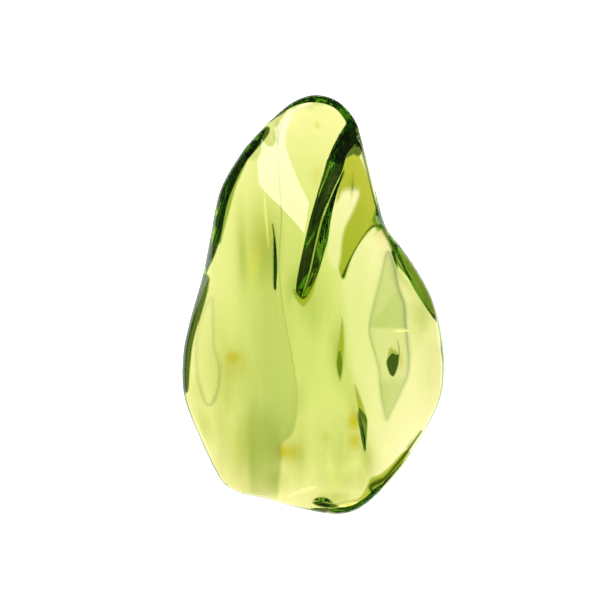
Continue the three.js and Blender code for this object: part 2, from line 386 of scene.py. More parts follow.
# Dark lines of painted shade along the clefts, the fold and the rim: strength, then x, y and half width
# along the line.
DARK_LINES = [
    # between the olive wall and the cheek
    (1.0, [
        (10.9, 12.1, 0.30), (9.6, 12.3, 0.18), (8.8, 11.9, 0.12), (7.6, 10.5, 0.07), (5.9, 7.6, 0.10),
        (5.0, 5.6, 0.18), (4.5, 4.3, 0.24),
    ]),
    # the rim from the narrow end to the right band
    (0.9, [
        (7.3, 26.6, 0.3), (7.75, 24.0, 0.25), (8.6, 20.6, 0.18), (9.45, 17.0, 0.14), (10.1, 14.4, 0.14),
        (10.8, 12.1, 0.3), (11.9, 10.0, 0.3), (12.5, 8.4, 0.3), (13.1, 6.6, 0.25), (14.0, 5.2, 0.2),
        (15.2, 3.9, 0.1),
    ]),
    # the hook over the pit
    (0.6, [(12.9, -5.6, 0.04), (13.15, -6.8, 0.07), (13.15, -8.2, 0.08)]),
    # the left edge of the right slit
    (0.9, [(7.0, -16.2, 0.10), (7.3, -18.0, 0.12), (7.4, -19.8, 0.12), (7.9, -22.5, 0.10)]),
    # its right edge
    (0.9, [(7.2, -16.3, 0.08), (8.0, -17.6, 0.14), (8.05, -20.0, 0.12), (7.9, -22.5, 0.10)]),
    # the lower right rim
    (0.9, [
        (9.3, -29.7, 0.2), (9.0, -28.6, 0.35), (9.9, -28.0, 0.45), (11.2, -27.3, 0.3),
        (12.5, -25.8, 0.25), (14.4, -23.5, 0.25), (17.0, -19.9, 0.12),
    ]),
    # the lower left rim
    (0.7, [
        (-20.1, -13.4, 0.12), (-20.3, -14.6, 0.15), (-18.4, -20.2, 0.15), (-14.9, -27.4, 0.15),
        (-13.6, -28.6, 0.05),
    ]),
    # the line down the fold's bottom
    (0.32, [
        (4.5, 20.4, 0.3), (1.95, 15.0, 0.35), (0.6, 10.8, 0.35), (-0.4, 5.6, 0.35), (-1.6, 1.8, 0.3),
    ]),
    # the left slit
    (1.0, [
        (-6.4, 12.4, 0.08), (-6.2, 11.2, 0.12), (-6.05, 9.6, 0.18), (-6.0, 6.6, 0.22), (-6.05, 3.6, 0.18),
        (-6.1, 2.4, 0.08),
    ]),
]
# Painted highlights as yellow glints on the rims, and one clear yellow spot left of the left slit: x, y,
# half width, half length, turn in degrees, strength.
GLINTS_AND_YELLOW_SPOTS = [
    (-9.3, 6.0, 0.8, 3.2, -4.0, 0.75),
    (12.7, 9.7, 0.2, 2.6, 34.0, 1.0),
    (14.6, 5.0, 0.14, 2.2, 38.0, 0.9),
    (5.7, -31.6, 1.5, 0.5, 8.0, 1.0),
]

# The shaded face left of the long crease: how strong it is down the stone, and where it thins out.
SHADE_HEIGHTS = [-31.0, -29.5, -26.0, -22.0, -18.0, -14.0, -8.0, 0.0, 9.0]
SHADE_STRENGTHS = [0.2, 0.9, 1.0, 1.0, 0.9, 0.6, 0.4, 0.25, 0.0]
SHADE_LEFT = -10.1
SHADE_STEP = 0.4  # the share of the shade that ends there at an edge, while the rest fades out more slowly
SHADE_EDGE, SHADE_FADE = (0.5, -0.5), (1.5, -3.0)  # where those two start and end, from SHADE_LEFT on
SHADE_SOFT = 0.25  # width of the shade's soft border along the crease
SHADE_REACH = 12.0  # how far round the crease it is worked out, which is past where it has faded out

# Soft spots of colour on the crown: x, y, half width, half length, turn in degrees, strength.
STAINS = [
    (0.6, 27.9, 0.3, 0.3, 0.0, 1.0),
    (0.5, 20.0, 1.0, 1.6, 0.0, 0.3),
    (-8.0, 10.5, 1.6, 4.5, 2.0, 0.3),
    (-12.4, -8.2, 1.2, 1.0, 0.0, 0.9),
    (-12.2, -9.0, 2.2, 2.2, 0.0, 0.35),
    (-4.7, -22.8, 1.0, 1.2, 0.0, 0.95),
    (-3.6, -23.0, 1.8, 1.3, 0.0, 0.7),
    (6.1, -18.1, 0.9, 1.4, 0.0, 1.0),
    (6.3, -21.1, 0.8, 1.2, 0.0, 0.9),
    (1.8, -20.5, 0.9, 0.9, 0.0, 0.3),
    (10.5, 11.0, 1.0, 1.2, 0.0, 0.35),
    (12.3, -7.3, 0.7, 0.7, 0.0, 0.6),
    (13.5, -8.8, 0.3, 1.3, 0.0, 0.5),
]
# Where the painted reflection on the cheek is brightest: columns as in STAINS.
BRIGHTS = [
    (4.8, 3.0, 2.0, 6.5, 0.0, 1.0),
    (8.4, 2.0, 0.9, 9.0, -8.0, 1.0),
    (8.9, -12.0, 0.8, 6.0, 8.0, 0.8),
    (15.5, -14.0, 1.6, 8.0, 0.0, 0.8),
]
# Painted highlights, fine bright glints: strength, then x, y and half width along the line.
GLINT_LINES = [
    # the dash across the leaf
    (1.0, [(12.4, -4.05, 0.05), (13.1, -4.1, 0.15), (14.2, -4.05, 0.14), (14.75, -4.0, 0.05)]),
    # the leaf's left edge
    (0.35, [(8.4, -1.5, 0.06), (8.15, -4.0, 0.16), (8.6, -6.4, 0.16), (9.4, -8.6, 0.08)]),
    # the inner edge of the rim's right band
    (0.9, [(12.9, 6.2, 0.05), (13.6, 5.2, 0.14), (14.6, 4.0, 0.14), (15.6, 2.8, 0.06)]),
    # the rim below the waist
    (0.9, [(11.5, 11.5, 0.05), (12.6, 9.6, 0.14), (13.8, 7.6, 0.06)]),
    # beside the left slit
    (0.6, [(-7.7, 17.0, 0.05), (-7.5, 14.6, 0.15), (-7.25, 12.0, 0.15), (-7.0, 9.0, 0.06)]),
    # the left sparkle at the bottom rim
    (1.0, [(3.9, -31.9, 0.05), (4.6, -31.7, 0.18), (5.3, -31.9, 0.08)]),
    # the right one
    (1.0, [(5.7, -31.6, 0.05), (6.3, -31.4, 0.18), (7.0, -31.2, 0.06)]),
    # the long glint above the bottom rim
    (0.7, [(0.4, -28.6, 0.05), (-1.6, -29.2, 0.20), (-4.0, -30.2, 0.10)]),
]
# Soft long bands of green below the polish, like growth layers seen edge on; those along the rim's right
# band are painted shade: columns as in STAINS.
BANDS = [
    (-11.1, 8.0, 0.9, 6.5, 3.0, 1.0),
    (-6.3, 7.0, 0.9, 5.5, -2.0, 0.4),
    (-3.0, 3.4, 0.9, 2.6, -20.0, 0.8),
    (13.6, 4.4, 0.9, 3.6, 32.0, 0.8),
    (12.4, 5.0, 0.8, 2.6, 20.0, 0.5),
    (-6.0, -21.5, 1.6, 3.5, 0.0, 0.4),
    (8.7, -23.4, 0.9, 3.4, 10.0, 0.55),
    (-9.1, 9.0, 1.3, 6.0, 0.0, 0.4),
    (16.6, -1.5, 1.5, 3.0, 31.0, 0.45),
]
# Where the body is deep in colour, and painted shade along the rim's right band: columns as in STAINS.
DEEPS = [
    (-5.5, -3.0, 5.2, 20.0, 0.0, 0.45),
    (-17.0, -19.0, 2.0, 5.0, 20.0, 0.8),
    (8.6, -21.0, 1.2, 3.5, 10.0, 0.7),
    (-14.5, -19.0, 3.5, 7.0, 20.0, 0.6),
    (-18.0, -14.0, 2.0, 4.0, 0.0, 0.6),
    (18.8, -9.0, 2.4, 9.0, 0.0, 0.6),
    (4.5, -27.0, 6.0, 3.0, 0.0, 0.7),
    (-6.0, -27.5, 3.0, 2.5, 0.0, 0.8),
    (-7.6, 8.5, 3.0, 7.5, -4.0, 0.8),
    (-13.5, -12.5, 4.5, 10.0, 6.0, 0.7),
    (-10.5, -22.0, 5.5, 8.0, 0.0, 0.9),
    (-2.5, -23.5, 3.0, 6.0, 0.0, 0.75),
    (3.6, -7.0, 1.3, 5.0, 3.0, 0.8),
    (6.6, -15.5, 1.6, 6.0, 14.0, 0.8),
    (9.2, -24.5, 2.2, 5.5, 20.0, 1.0),
    (-2.4, -14.5, 1.6, 5.0, 0.0, 0.5),
    (-0.5, 0.5, 3.2, 5.5, 0.0, 0.7),
    (3.5, -23.5, 5.0, 6.5, 0.0, 0.6),
    (16.6, -2.0, 2.6, 5.5, -20.0, 0.9),
    (12.6, 7.6, 1.0, 3.0, 32.0, 0.5),
    (2.8, -30.5, 4.0, 1.5, 4.0, 0.9),
]

MARKING_SPREAD = 1.022  # the markings are listed this much further out than they lie
CREASE_WIDTH, DENT_WIDTH = 0.11, 0.3  # half widths of the crease's line, and of the dents' edges
LEAST_WIDTH = 0.05  # of a groove or a line, where its own comes to nothing

# Widths of the colour zones' soft borders.
CHEEK_SOFT = 1.8
LEAF_SOFT = 0.3
LEAF_SHADE_SOFT = 1.6
CRESCENT_SOFT = 1.0
VEILED_SOFT = 0.3
PALE_SOFT = 0.7
OLIVE_SOFT = 0.25
OLIVE_LENS_SOFT = 0.35
DARK_LENS_SOFT = 0.22
BAND_SHADE_SOFT = 0.4

# Strengths of the colour zones that don't list their own.
CRESCENT_STRENGTH = 0.8
VEILED_STRENGTH = 0.9
LEAF_TOP, LEAF_MIDDLE, LEAF_TIP = 0.8, 0.45, 0.95
LEAF_SHADE_MORE = 0.3
LEAF_STEP = (-3.9, -3.4)  # the heights between which the leaf's middle turns into its top
LEAF_TAPER = (-10.0, -13.0)  # and into its tip
CHEEK_SHARE = 0.75  # the part of the cheek's painted reflection that is even, and the rest is its bright places
CHEEK_LOSS = 0.5  # how much fainter the even part is near the rim
CHEEK_FADE = (13.0, 17.0)  # from here to here, across the stone, it gets fainter
REFLECTION_AND_PALE_HIDE = 0.75  # how much of the deep colour the painted reflection and the pale patch hide
FRINGE_FULL = 0.6  # where the painted dark shade is this strong, its green fringe of painted shade is at its full strength

# ---- mesh density ----
AROUND = 420  # points round the stone
CROWN_RINGS, EDGE_RINGS = 46, 8
UNDERSIDE_RINGS, BEVEL_RINGS = 50, 12
RIM_STEPS = 160  # points of the rim's curve from one listed place to the next
CURVE_STEPS, COARSE_STEPS = 12, 4  # the same for other curves, and where the fine zones are looked for
FINE_EDGE = 0.204  # mesh edges in the fine zones are split until they are shorter than this
FINE_PASSES = 2  # but no more often than this
# How far the fine zones go: in shares of a groove's or the scoop's own width, and on the crown in mm.
GROOVE_ZONE, SCOOP_ZONE = 1.25, 1.2
CREASE_ZONE, OUTLINE_ZONE, LINE_ZONE = 0.35, 0.45, 0.4


def spline(rows, closed=False, steps=CURVE_STEPS):
    """Points on the Catmull-Rom curve through rows, whatever their number of columns."""
    rows = np.asarray(rows, float)
    count = len(rows)
    spans = count if closed else count - 1
    u = np.linspace(0, spans, spans * steps + 1)[: -1 if closed else None]
    i = np.minimum(u.astype(int), spans - 1)
    f = (u - i)[:, None]
    if closed:
        a, b, c, d = (rows[(i + k) % count] for k in (-1, 0, 1, 2))
    else:
        padded = np.vstack([2 * rows[0] - rows[1], rows, 2 * rows[-1] - rows[-2]])
        a, b, c, d = (padded[i + k] for k in (0, 1, 2, 3))
    first, second, third = c - a, 2 * a - 5 * b + 4 * c - d, 3 * b - a - 3 * c + d
    return 0.5 * (2 * b + first * f + second * f**2 + third * f**3)


class Rim:
    """The rim as functions of the angle round the stone's middle."""

    def __init__(self):
        self.curve = spline(RIM, closed=True, steps=RIM_STEPS)
        x, y = self.curve[:, 0] - MIDDLE[0], self.curve[:, 1] - MIDDLE[1]
        along = np.roll(self.curve, -1, 0) - np.roll(self.curve, 1, 0)
        reach = np.abs(x * along[:, 1] - y * along[:, 0]) / np.hypot(along[:, 0], along[:, 1])
        angle = np.arctan2(y, x)
        order = np.argsort(angle)
        columns = (np.hypot(x, y), self.curve[:, 2], self.curve[:, 3], reach, self.curve[:, 4])
        wrap = np.concatenate([order[-1:], order, order[:1]])
        self.angle = angle[wrap]
        self.angle[0] -= 2 * np.pi
        self.angle[-1] += 2 * np.pi
        self.columns = [column[wrap] for column in columns]
        self.calm_angle = np.linspace(-np.pi, np.pi, 361)  # a place at every degree
        apart = self.calm_angle[:, None] - self.calm_angle[:-1]
        laps = (0, -2 * np.pi, 2 * np.pi)
        weight = sum(np.exp(-0.5 * (apart + lap) ** 2 / CROWN_CALM**2) for lap in laps)
        radius, _, height, _, sag = self.at(self.calm_angle[:-1])
        self.calm_columns = (weight @ np.array([radius, height, sag]).T / weight.sum(1)[:, None]).T

    def at(self, angle):
        """Radius, bevel width, rim height, reach and crown's sag at each angle."""
        return [np.interp(angle, self.angle, column) for column in self.columns]

    def calm_at(self, angle):
        """Radius, rim height and crown's sag at each angle, evened out over a good part of a turn."""
        return [np.interp(angle, self.calm_angle, column) for column in self.calm_columns]

    def even_angles(self, count):
        """Angles of points evenly spaced along the rim."""
        closed = np.vstack([self.curve, self.curve[:1]])[:, :2]
        length = np.concatenate([[0], np.cumsum(np.hypot(*np.diff(closed, axis=0).T))])
        places = np.linspace(0, length[-1], count, endpoint=False)
        x = np.interp(places, length, closed[:, 0])
        y = np.interp(places, length, closed[:, 1])
        return np.arctan2(y - MIDDLE[1], x - MIDDLE[0])


rim = Rim()

FAR = 1000.0  # stands for the distance to a line that isn't near


def follow(x, y, line, margin=4.0, closed=False):
    """Distance from each point to a line of points, whether it lies left of the line's travel, and the
    line's other columns at the nearest place. Points past the margin around the line are far away."""
    line = np.vstack([line, line[:1]]) if closed else line
    distance = np.full(x.shape, FAR)
    left = np.zeros(x.shape, bool)
    values = np.zeros((line.shape[1] - 2,) + x.shape)
    low, high = line[:, :2].min(0) - margin, line[:, :2].max(0) + margin
    near = np.flatnonzero((x > low[0]) & (x < high[0]) & (y > low[1]) & (y < high[1]))
    px, py, best = x[near], y[near], distance[near]
    for a, b in zip(line[:-1], line[1:]):
        dx, dy = b[0] - a[0], b[1] - a[1]
        t = np.clip(((px - a[0]) * dx + (py - a[1]) * dy) / (dx * dx + dy * dy), 0, 1)
        away = np.hypot(px - a[0] - t * dx, py - a[1] - t * dy)
        closer = away < best
        best = np.where(closer, away, best)
        at, t = near[closer], t[closer]
        left[at] = dx * (y[at] - a[1]) - dy * (x[at] - a[0]) > 0
        values[:, at] = a[2:, None] + t * (b[2:] - a[2:])[:, None]
    distance[near] = best
    return distance, left, values


def smoothstep(low, high, value):
    t = np.clip((value - low) / (high - low), 0, 1)
    return t * t * (3 - 2 * t)


def groove_section(u):
    """1 on a groove's line (u = 0), near 0 at its shoulder (u = 1), softened at both."""
    bottom, shoulder, end = 0.06, 0.06, 1.8  # how soft the two are, and where the shoulder has run out
    v = 1 - (np.hypot(u, bottom) - bottom) / (math.hypot(1, bottom) - bottom)
    return np.where(u > end, 0, np.logaddexp(0, v / shoulder) / np.logaddexp(0, 1 / shoulder))


def cuts(x, y):
    """Depth of what is cut into the underside."""
    depth = np.zeros(x.shape)
    for rows in GROOVES:
        distance, left, (left_width, right_width, deep) = follow(x, y, spline(rows))
        # the routes run down the stone, so the viewer's left is the right of the travel
        width = np.where(left, right_width, left_width)
        depth = np.maximum(depth, deep * groove_section(distance / np.maximum(width, LEAST_WIDTH)))
    return np.maximum(depth, SCOOP_DEPTH * (1 - out_of_spot(x, y, *SCOOP)))


def out_of_spot(x, y, at_x, at_y, half_width, half_length, turn):
    """How far out of an oval spot each point is: 0 in its middle and 1 on its edge."""
    c, s = math.cos(math.radians(turn)), math.sin(math.radians(turn))
    dx, dy = x - at_x, y - at_y
    return np.hypot((dx * c + dy * s) / half_width, (dy * c - dx * s) / half_length)


def inside(x, y, outline, soft):
    """1 inside a closed outline, 0 outside, with a soft border of that width."""
    points = spline(outline, closed=True)
    distance, left, _ = follow(x, y, points, margin=soft, closed=True)
    ahead = np.roll(points, -1, 0)
    leftwards_round = np.sum(points[:, 0] * ahead[:, 1] - points[:, 1] * ahead[:, 0]) > 0
    how_deep = np.where(left == leftwards_round, distance, -distance)
    return smoothstep(-soft / 2, soft / 2, how_deep) * (distance < FAR)


def crown_relief(x, y):
    cheek = CHEEK_RISE * inside(x, y, CHEEK, CHEEK_SLOPE)
    return cheek - LEAF_DENT * inside(x, y, LEAF, LEAF_SLOPE) - OVAL_DENT * inside(x, y, OVAL, OVAL_SLOPE)


def crown_height(x, y):
    angle = np.arctan2(y - MIDDLE[1], x - MIDDLE[0])
    radius, _, height, reach, _ = rim.at(angle)
    share = np.minimum(np.hypot(x - MIDDLE[0], y - MIDDLE[1]) / radius, 1)
    t = np.clip(1 - (1 - share) * reach / EDGE_WIDTH, 0, 1)
    edge_height = EDGE_WIDTH * EDGE_RISE
    calm_radius, calm_height, sag = rim.calm_at(angle)
    near_rim = share**CALM_POWER
    calm_share = share * radius / calm_radius
    crown_share = calm_share + (share - calm_share) * near_rim
    crown_rim = calm_height + (height - calm_height) * near_rim + edge_height
    crown = crown_rim + (THICKNESS - crown_rim) * (1 - crown_share**CROWN_POWER) + crown_relief(x, y)
    crown -= sag * SAG_SCALE * crown_share**3 * (1 - crown_share)
    return height + np.sqrt(1 - t * t) * (crown - height)


def underside_height(x, y):
    angle = np.arctan2(y - MIDDLE[1], x - MIDDLE[0])
    radius, bevel_width, height, reach, _ = rim.at(angle)
    share = np.minimum(np.hypot(x - MIDDLE[0], y - MIDDLE[1]) / radius, 1)
    from_rim = (1 - share) * reach
    t = np.clip(1 - from_rim / bevel_width, 0, 1)
    bevel_height = bevel_width * BEVEL_RISE
    bevel = bevel_height * (1 - (1 - t**BEVEL_POWER) ** (1 / BEVEL_POWER))
    sweep = np.clip((share - FACET_SHARE) / (1 - FACET_SHARE), 0, 1) ** SWEEP_POWER
    fade = np.minimum(1, 2 * from_rim / bevel_width)  # no groove cuts the rim itself
    return (height - bevel_height) * sweep + bevel + fade * cuts(x, y)


def ring_shares(reach, edge_width, inner_rings, edge_rings):
    """Shares of the way from the middle to the rim, closer together in the edge zone."""
    edge_share = 1 - edge_width / reach
    inner = [edge_share * i / inner_rings for i in range(1, inner_rings)]
    turns = [math.sin(math.pi / 2 * i / edge_rings) for i in range(edge_rings)]
    return inner + [edge_share + (1 - edge_share) * turn for turn in turns]


def flat_plan():
    """The stone's mesh with no heights yet: z is 1 on the crown, 0 on the rim and -1 on the underside."""
    angles = rim.even_angles(AROUND)
    radius, bevel, _, reach, _ = rim.at(angles)
    sides = (
        (1, ring_shares(reach, EDGE_WIDTH, CROWN_RINGS, EDGE_RINGS)),
        (-1, ring_shares(reach, bevel, UNDERSIDE_RINGS, BEVEL_RINGS)),
    )
    bm = bmesh.new()
    dx, dy = np.cos(angles) * radius, np.sin(angles) * radius

    def ring(share, z):
        share = np.broadcast_to(share, dx.shape)
        return [bm.verts.new((MIDDLE[0] + s * a, MIDDLE[1] + s * b, z)) for s, a, b in zip(share, dx, dy)]

    rim_ring = ring(1.0, 0)
    for z, shares in sides:
        middle = bm.verts.new((*MIDDLE, z))
        rings = [ring(share, z) for share in shares] + [rim_ring]
        for i in range(AROUND):
            j = (i + 1) % AROUND
            faces = [(middle, rings[0][i], rings[0][j])]
            faces += [(a[i], b[i], b[j], a[j]) for a, b in zip(rings[:-1], rings[1:])]
            for corners in faces:
                bm.faces.new(corners if z < 0 else corners[::-1])
    return bm


def fine_zone(x, y, side):
    """True where the relief is finer than the plain mesh."""
    near = np.zeros(x.shape, bool)
    if side < 0:
        for rows in GROOVES:
            distance, _, (left_width, right_width, _) = follow(x, y, spline(rows, steps=COARSE_STEPS))
            near |= distance < GROOVE_ZONE * np.maximum(left_width, right_width)
        near |= out_of_spot(x, y, *SCOOP) < SCOOP_ZONE
    else:
        x, y = x * MARKING_SPREAD, y * MARKING_SPREAD
        outlines = [LEAF, OVAL, OLIVE, *OLIVE_LENSES, *(outline for _, outline in DARK_LENSES)]
        lines = [rows for _, rows in DARK_LINES + GLINT_LINES]
        zones = [(CREASE, False, CREASE_ZONE)]
        zones += [(outline, True, OUTLINE_ZONE) for outline in outlines]
        zones += [(rows, False, LINE_ZONE) for rows in lines]
        for rows, closed, zone in zones:
            route = spline(rows, closed=closed, steps=COARSE_STEPS)
            near |= follow(x, y, route, margin=zone, closed=closed)[0] < zone
    return near


def refine(bm):
    """Splits the long edges in the fine zones."""
    for _ in range(FINE_PASSES):
        edges = list(bm.edges)
        ends = np.array([[(*e.verts[0].co, *e.verts[1].co)] for e in edges]).reshape(-1, 2, 3)
        middle, length = ends.mean(1), np.hypot(*(ends[:, 0] - ends[:, 1])[:, :2].T)
        split = np.zeros(len(edges), bool)
        for side in (1, -1):
            on_side = middle[:, 2] * side > 0
            split[on_side] |= fine_zone(*middle[on_side, :2].T, side)
        split &= length > FINE_EDGE
        chosen = [edges[i] for i in np.flatnonzero(split)]
        bmesh.ops.subdivide_edges(bm, edges=chosen, cuts=1, use_grid_fill=True)


def blots(x, y, rows):
    """Soft spots, each of its own strength."""
    spots = np.zeros(x.shape)
    for *spot, strength in rows:
        spots = np.maximum(spots, strength * np.exp(-(out_of_spot(x, y, *spot) ** 2)))
    return spots


def strokes(x, y, lines):
    """Soft lines, each of its own strength."""
    drawn = np.zeros(x.shape)
    for strength, rows in lines:
        distance, _, (half_width,) = follow(x, y, spline(rows))
        drawn = np.maximum(drawn, strength * across_line(distance, np.maximum(half_width, LEAST_WIDTH)))
    return drawn


def across_line(distance, half_width):
    """1 on a line, fading out to both sides of it."""
    return np.exp(-((distance / half_width) ** 2))


def crease_shade_lines(x, y):
    """The fine lines of painted shade where the polished faces meet."""
    drawn = np.zeros(x.shape)
    lines = ((CREASE, False, CREASE_WIDTH), (LEAF, True, DENT_WIDTH), (OVAL, True, DENT_WIDTH))
    for rows, closed, half_width in lines:
        distance, _, (strength,) = follow(x, y, spline(rows, closed=closed), closed=closed)
        drawn = np.maximum(drawn, strength * across_line(distance, half_width))
    return drawn


def shaded_face(x, y):
    """The face left of the long crease."""
    beside, left, _ = follow(x, y, spline(CREASE), margin=SHADE_REACH)
    # the crease runs down the stone, so what lies left of its travel is the viewer's right
    from_crease = np.where(left | (beside == FAR), 0, smoothstep(0.0, SHADE_SOFT, beside))
    past_left = SHADE_STEP * smoothstep(*SHADE_EDGE, x - SHADE_LEFT)
    past_left += (1 - SHADE_STEP) * smoothstep(*SHADE_FADE, x - SHADE_LEFT)
    return from_crease * np.interp(y, SHADE_HEIGHTS, SHADE_STRENGTHS) * (1 - past_left)


def leaf_and_crescent_shade(x, y):
    """The painted shade of the leaf, which changes down its length, and of the crescent."""
    top = LEAF_TOP + LEAF_SHADE_MORE * inside(x, y, LEAF_SHADE, LEAF_SHADE_SOFT)
    leaf = LEAF_MIDDLE + (top - LEAF_MIDDLE) * smoothstep(*LEAF_STEP, y)
    leaf += (LEAF_TIP - LEAF_MIDDLE) * smoothstep(*LEAF_TAPER, y)
    crescent = CRESCENT_STRENGTH * inside(x, y, CRESCENT, CRESCENT_SOFT)
    return np.maximum(leaf * inside(x, y, LEAF, LEAF_SOFT), crescent)


def olive_wall_and_cleft_shade(x, y, pale):
    """The olive wall, less its pale patch, and the painted olive shade of the clefts and rims."""
    olive = inside(x, y, OLIVE, OLIVE_SOFT) * (1 - pale)
    for lens in OLIVE_LENSES:
        olive = np.maximum(olive, inside(x, y, lens, OLIVE_LENS_SOFT))
    return olive


def dark_shade_places(x, y):
    """Painted shade: the dark of the clefts, pits, fold and rim bands, in outlines and lines."""
    painted_dark_shade = strokes(x, y, DARK_LINES)
    for strength, lens in DARK_LENSES:
        painted_dark_shade = np.maximum(painted_dark_shade, strength * inside(x, y, lens, DARK_LENS_SOFT))
    return fuller(painted_dark_shade)


def reflection_and_pale_places(x, y, pale, olive):
    """The painted reflection on the cheek, brighter in places, and the pale patch."""
    cheek = inside(x, y, CHEEK, CHEEK_SOFT) * (1 - CHEEK_LOSS * smoothstep(*CHEEK_FADE, x))
    cheek = CHEEK_SHARE * cheek + (1 - CHEEK_SHARE) * blots(x, y, BRIGHTS)
    return np.maximum(cheek, pale) * (1 - olive)


def fuller(zone):
    """A zone that comes up to its full strength sooner."""
    return 1 - (1 - zone) ** 2


def masks(x, y, side):
    """Colour zones of the crown, each from 0 to 1: the amber's own colours, and painted shade, painted
    reflection and painted highlights.
    """
    x, y = x * MARKING_SPREAD, y * MARKING_SPREAD
    painted_glint_lines = strokes(x, y, GLINT_LINES)
    glints_and_yellow = np.maximum(blots(x, y, GLINTS_AND_YELLOW_SPOTS), painted_glint_lines)
    rest = 1 - glints_and_yellow
    pale = inside(x, y, PALE, PALE_SOFT)
    olive = olive_wall_and_cleft_shade(x, y, pale)
    cheek_reflection_and_pale = reflection_and_pale_places(x, y, pale, olive)
    painted_dark_shade = dark_shade_places(x, y) * rest
    veiled = VEILED_STRENGTH * inside(x, y, VEILED_CRESCENT, VEILED_SOFT)
    zones = {
        "line": crease_shade_lines(x, y) * rest,
        "leaf": leaf_and_crescent_shade(x, y) * rest,
        "olive": olive * rest,
        "shade": shaded_face(x, y),
        # the bands, and the painted shade of the crescent's inner edge
        "band": np.maximum(blots(x, y, BANDS), veiled),
        "deep": blots(x, y, DEEPS) * (1 - REFLECTION_AND_PALE_HIDE * cheek_reflection_and_pale) * (1 - olive) * rest,
        "stain": fuller(blots(x, y, STAINS)),
        "shade_fringe": smoothstep(0.0, FRINGE_FULL, painted_dark_shade),
        "painted_band_shade": inside(x, y, BAND_SHADE_OUTLINE, BAND_SHADE_SOFT) * rest,
        "painted_dark_shade": painted_dark_shade,
        "cheek_reflection_and_pale": cheek_reflection_and_pale,
        "glints_and_yellow": glints_and_yellow,
        "painted_glint_lines": painted_glint_lines,
    }
    return {name: zone * (side > 0) for name, zone in zones.items()}


def stone_mesh():
    bm = flat_plan()
    refine(bm)
    mesh = bpy.data.meshes.new("polished_stone")
    bm.to_mesh(mesh)
    bm.free()
    points = np.empty(3 * len(mesh.vertices))
    mesh.vertices.foreach_get("co", points)
    points = points.reshape(-1, 3)
    x, y, side = points[:, 0].copy(), points[:, 1].copy(), points[:, 2].copy()
    height = np.where(side > 0, crown_height(x, y), underside_height(x, y))
    points[:, 2] = np.where(side == 0, rim.at(np.arctan2(y - MIDDLE[1], x - MIDDLE[0]))[2], height)
    mesh.vertices.foreach_set("co", fitted(points).ravel())
    for name, values in masks(x, y, side).items():
        mesh.attributes.new(name, "FLOAT", "POINT").data.foreach_set("value", values)
    mesh.polygons.foreach_set("use_smooth", [True] * len(mesh.polygons))
    mesh.update()
    return mesh


def fitted(points):
    """Millimetres to metres, fitted to the solid's box, which is a hair smaller where its facets cut."""
    low, high = (np.array(corner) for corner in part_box("amber_stone"))
    fine_low, fine_high = points.min(0), points.max(0)
    return low + (points - fine_low) * (high - low) / (fine_high - fine_low)


def principled(name):
    material = bpy.data.materials.new(name)
    material.use_nodes = True
    return material, material.node_tree, material.node_tree.nodes["Principled BSDF"]


def masked(tree, zone):
    """The strength of a colour zone."""
    attribute = tree.nodes.new("ShaderNodeAttribute")
    attribute.attribute_name = zone
    return attribute.outputs["Fac"]


def mixed(tree, base, colour, strength, blend="MIX"):
    """A colour that turns from base to the given colour by a strength from 0 to 1."""
    mix = tree.nodes.new("ShaderNodeMix")
    mix.data_type = "RGBA"
    mix.blend_type = blend
    first, second, result = mix.inputs[6], mix.inputs[7], mix.outputs[2]  # the colour sockets
    tree.links.new(strength, mix.inputs["Factor"])
    tree.links.new(base, first)
    second.default_value = (*colour, 1)
    return result


REFRACTION = 1.54
ABSORBED_PER_METRE = (37.0, 19.0, 75.0)  # red, green and blue
# What the surface tints the light by, on the body, on the painted reflection of the cheek with the pale
# patch, and on the painted highlights.
AMBER_TINT = (0.575, 0.52, 0.25)
REFLECTION_AND_PALE_TINT = (0.75, 0.60, 0.59)
GLINT_TINT = (1.0, 1.0, 1.0)
# What each zone multiplies the tint by, where it is strongest. Several zones are painted shade over the
# creases, leaf, clefts, rims and fold.
ZONE_TINTS = {
    "deep": (0.50, 0.56, 0.17),
    "shade": (0.40, 0.50, 0.28),
    "band": (0.48, 0.56, 0.22),
    "olive": (0.27, 0.33, 0.012),
    "leaf": (0.46, 0.58, 0.34),
    "stain": (0.75, 0.55, 0.0),
    "glints_and_yellow": (1.0, 0.95, 0.12),
    "line": (0.28, 0.34, 0.36),
    "painted_band_shade": (0.65, 0.36, 1.0),
    "shade_fringe": (0.36, 0.64, 0.06),
    "painted_dark_shade": (0.004, 0.016, 0.0),
}
STREAK_SCALE = (330.0, 45.0, 0.0)  # per metre: fine across the stone, long down it
STREAK_RANGE = (0.42, 0.68)  # the noise from which the streaks start, and at which they are full
STREAK_TINT = (0.55, 0.68, 0.36)


def streaks(tree):
    """Faint long streaks down the deep part of the stone, from 0 to 1."""
    place = tree.nodes.new("ShaderNodeTexCoord")
    stretch = tree.nodes.new("ShaderNodeMapping")
    stretch.inputs["Scale"].default_value = STREAK_SCALE
    noise = tree.nodes.new("ShaderNodeTexNoise")
    noise.inputs["Scale"].default_value = 1.0
    noise.inputs["Detail"].default_value = 3.0
    spread = tree.nodes.new("ShaderNodeMapRange")
    spread.inputs["From Min"].default_value, spread.inputs["From Max"].default_value = STREAK_RANGE
    tree.links.new(place.outputs["Object"], stretch.inputs["Vector"])
    tree.links.new(stretch.outputs["Vector"], noise.inputs["Vector"])
    tree.links.new(noise.outputs["Fac"], spread.inputs["Value"])
    part = tree.nodes.new("ShaderNodeMath")
    part.operation = "MULTIPLY"
    tree.links.new(spread.outputs["Result"], part.inputs[0])
    tree.links.new(masked(tree, "deep"), part.inputs[1])
    return part.outputs[0]


